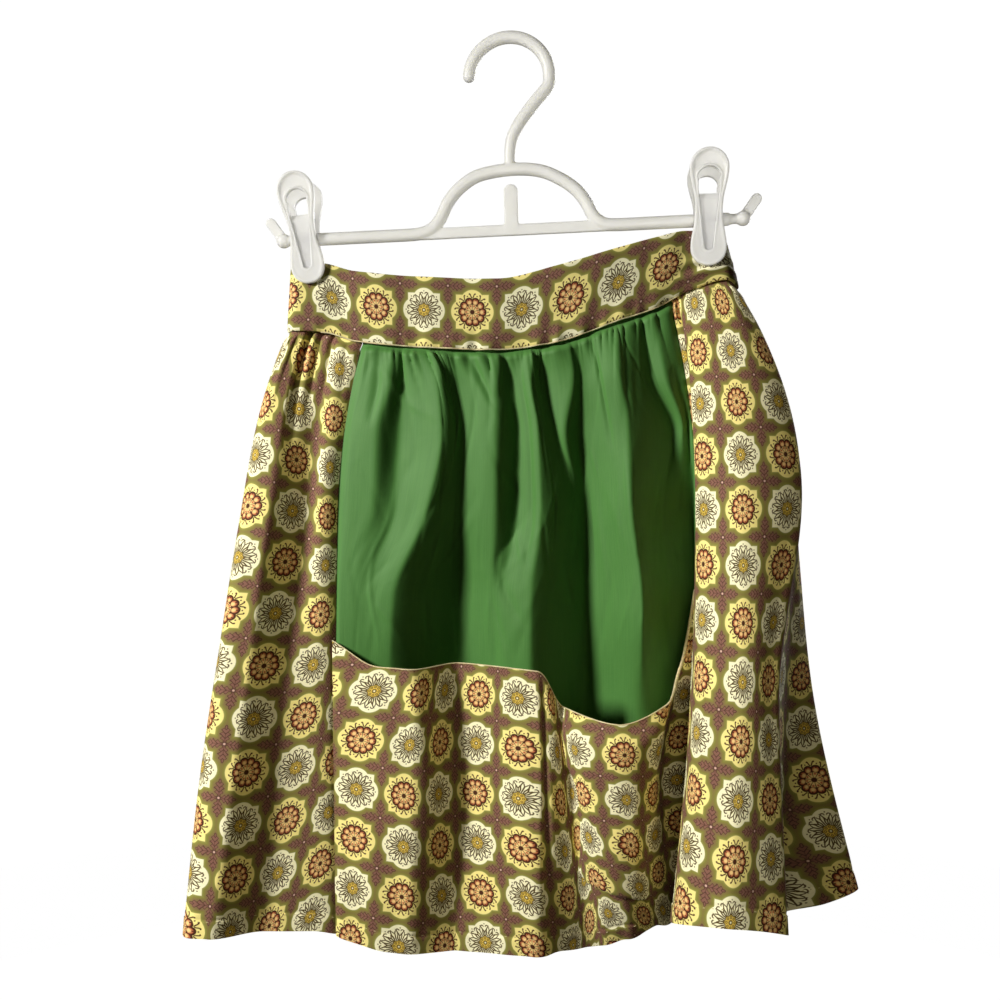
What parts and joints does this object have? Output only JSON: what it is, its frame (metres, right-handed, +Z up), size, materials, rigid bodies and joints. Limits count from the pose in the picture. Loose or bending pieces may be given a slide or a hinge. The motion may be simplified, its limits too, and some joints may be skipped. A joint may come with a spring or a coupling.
{
  "type": "half waist apron on a clip hanger",
  "caption": "Printed cotton half apron with a gathered plain centre panel and a wide scooped patch pocket, hung by its waistband from a white clip hanger.",
  "frame": {"origin": "where the inside of the hanger's hook rests on its support, which is the mount hang_point", "axes": "+Z up along the hanging apron, +X towards the viewer's right along the hanger's bar, and the apron's front faces -Y"},
  "size_m": [0.4142, 0.1462, 0.5709],
  "materials": {
    "printed_cotton": "plain-woven cotton printed with a small medallion repeat on an olive ground, cream reverse",
    "green_cotton": "plain bottle-green cotton with a slight lustre",
    "white_plastic": "satin white moulded plastic"
  },
  "bodies": {
    "root": {"waistband": "printed_cotton", "left_side_panel": "printed_cotton", "right_side_panel": "printed_cotton", "pocket": "printed_cotton", "centre_panel": "green_cotton", "hanger_frame": "white_plastic", "clip_left_front_jaw": "white_plastic", "clip_left_back_jaw": "white_plastic", "clip_right_front_jaw": "white_plastic", "clip_right_back_jaw": "white_plastic"}
  },
  "joints": []
}
